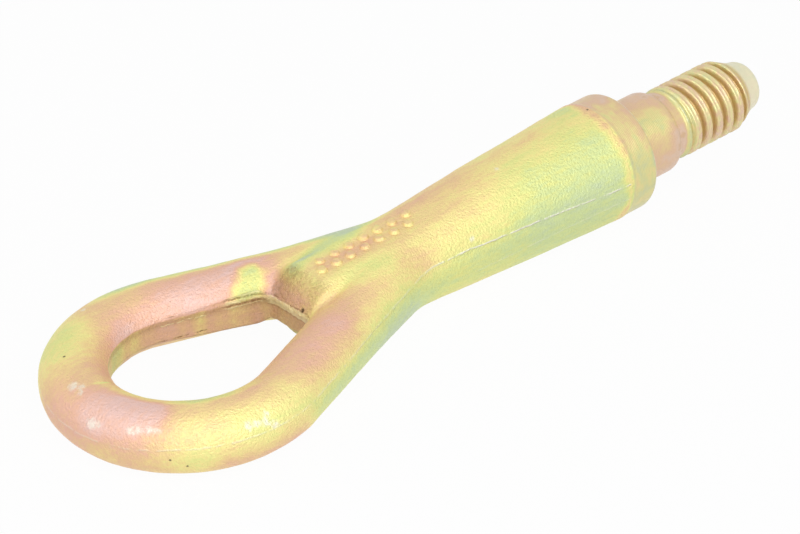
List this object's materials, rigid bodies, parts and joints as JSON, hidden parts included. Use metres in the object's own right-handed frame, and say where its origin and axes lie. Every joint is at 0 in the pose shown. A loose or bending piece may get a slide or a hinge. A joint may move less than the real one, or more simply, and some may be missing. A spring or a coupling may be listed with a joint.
{
  "type": "tow eye",
  "caption": "Forged screw-in tow eye: a teardrop loop running into a flared shank with a turned shoulder, pilot neck and coarse thread.",
  "frame": {"origin": "on the thread axis in the plane of the collar's shoulder face", "axes": "+X along the thread axis towards the pilot nose, +Z normal to the plane of the loop, the loop towards -X"},
  "size_m": [0.2311, 0.0736, 0.033],
  "materials": {
    "zinc_yellow": "iridescent yellow chromate over zinc on steel, satin as forged and finely turned on the collar, neck and nose"
  },
  "bodies": {
    "root": {"tow_eye": "zinc_yellow"}
  },
  "joints": []
}
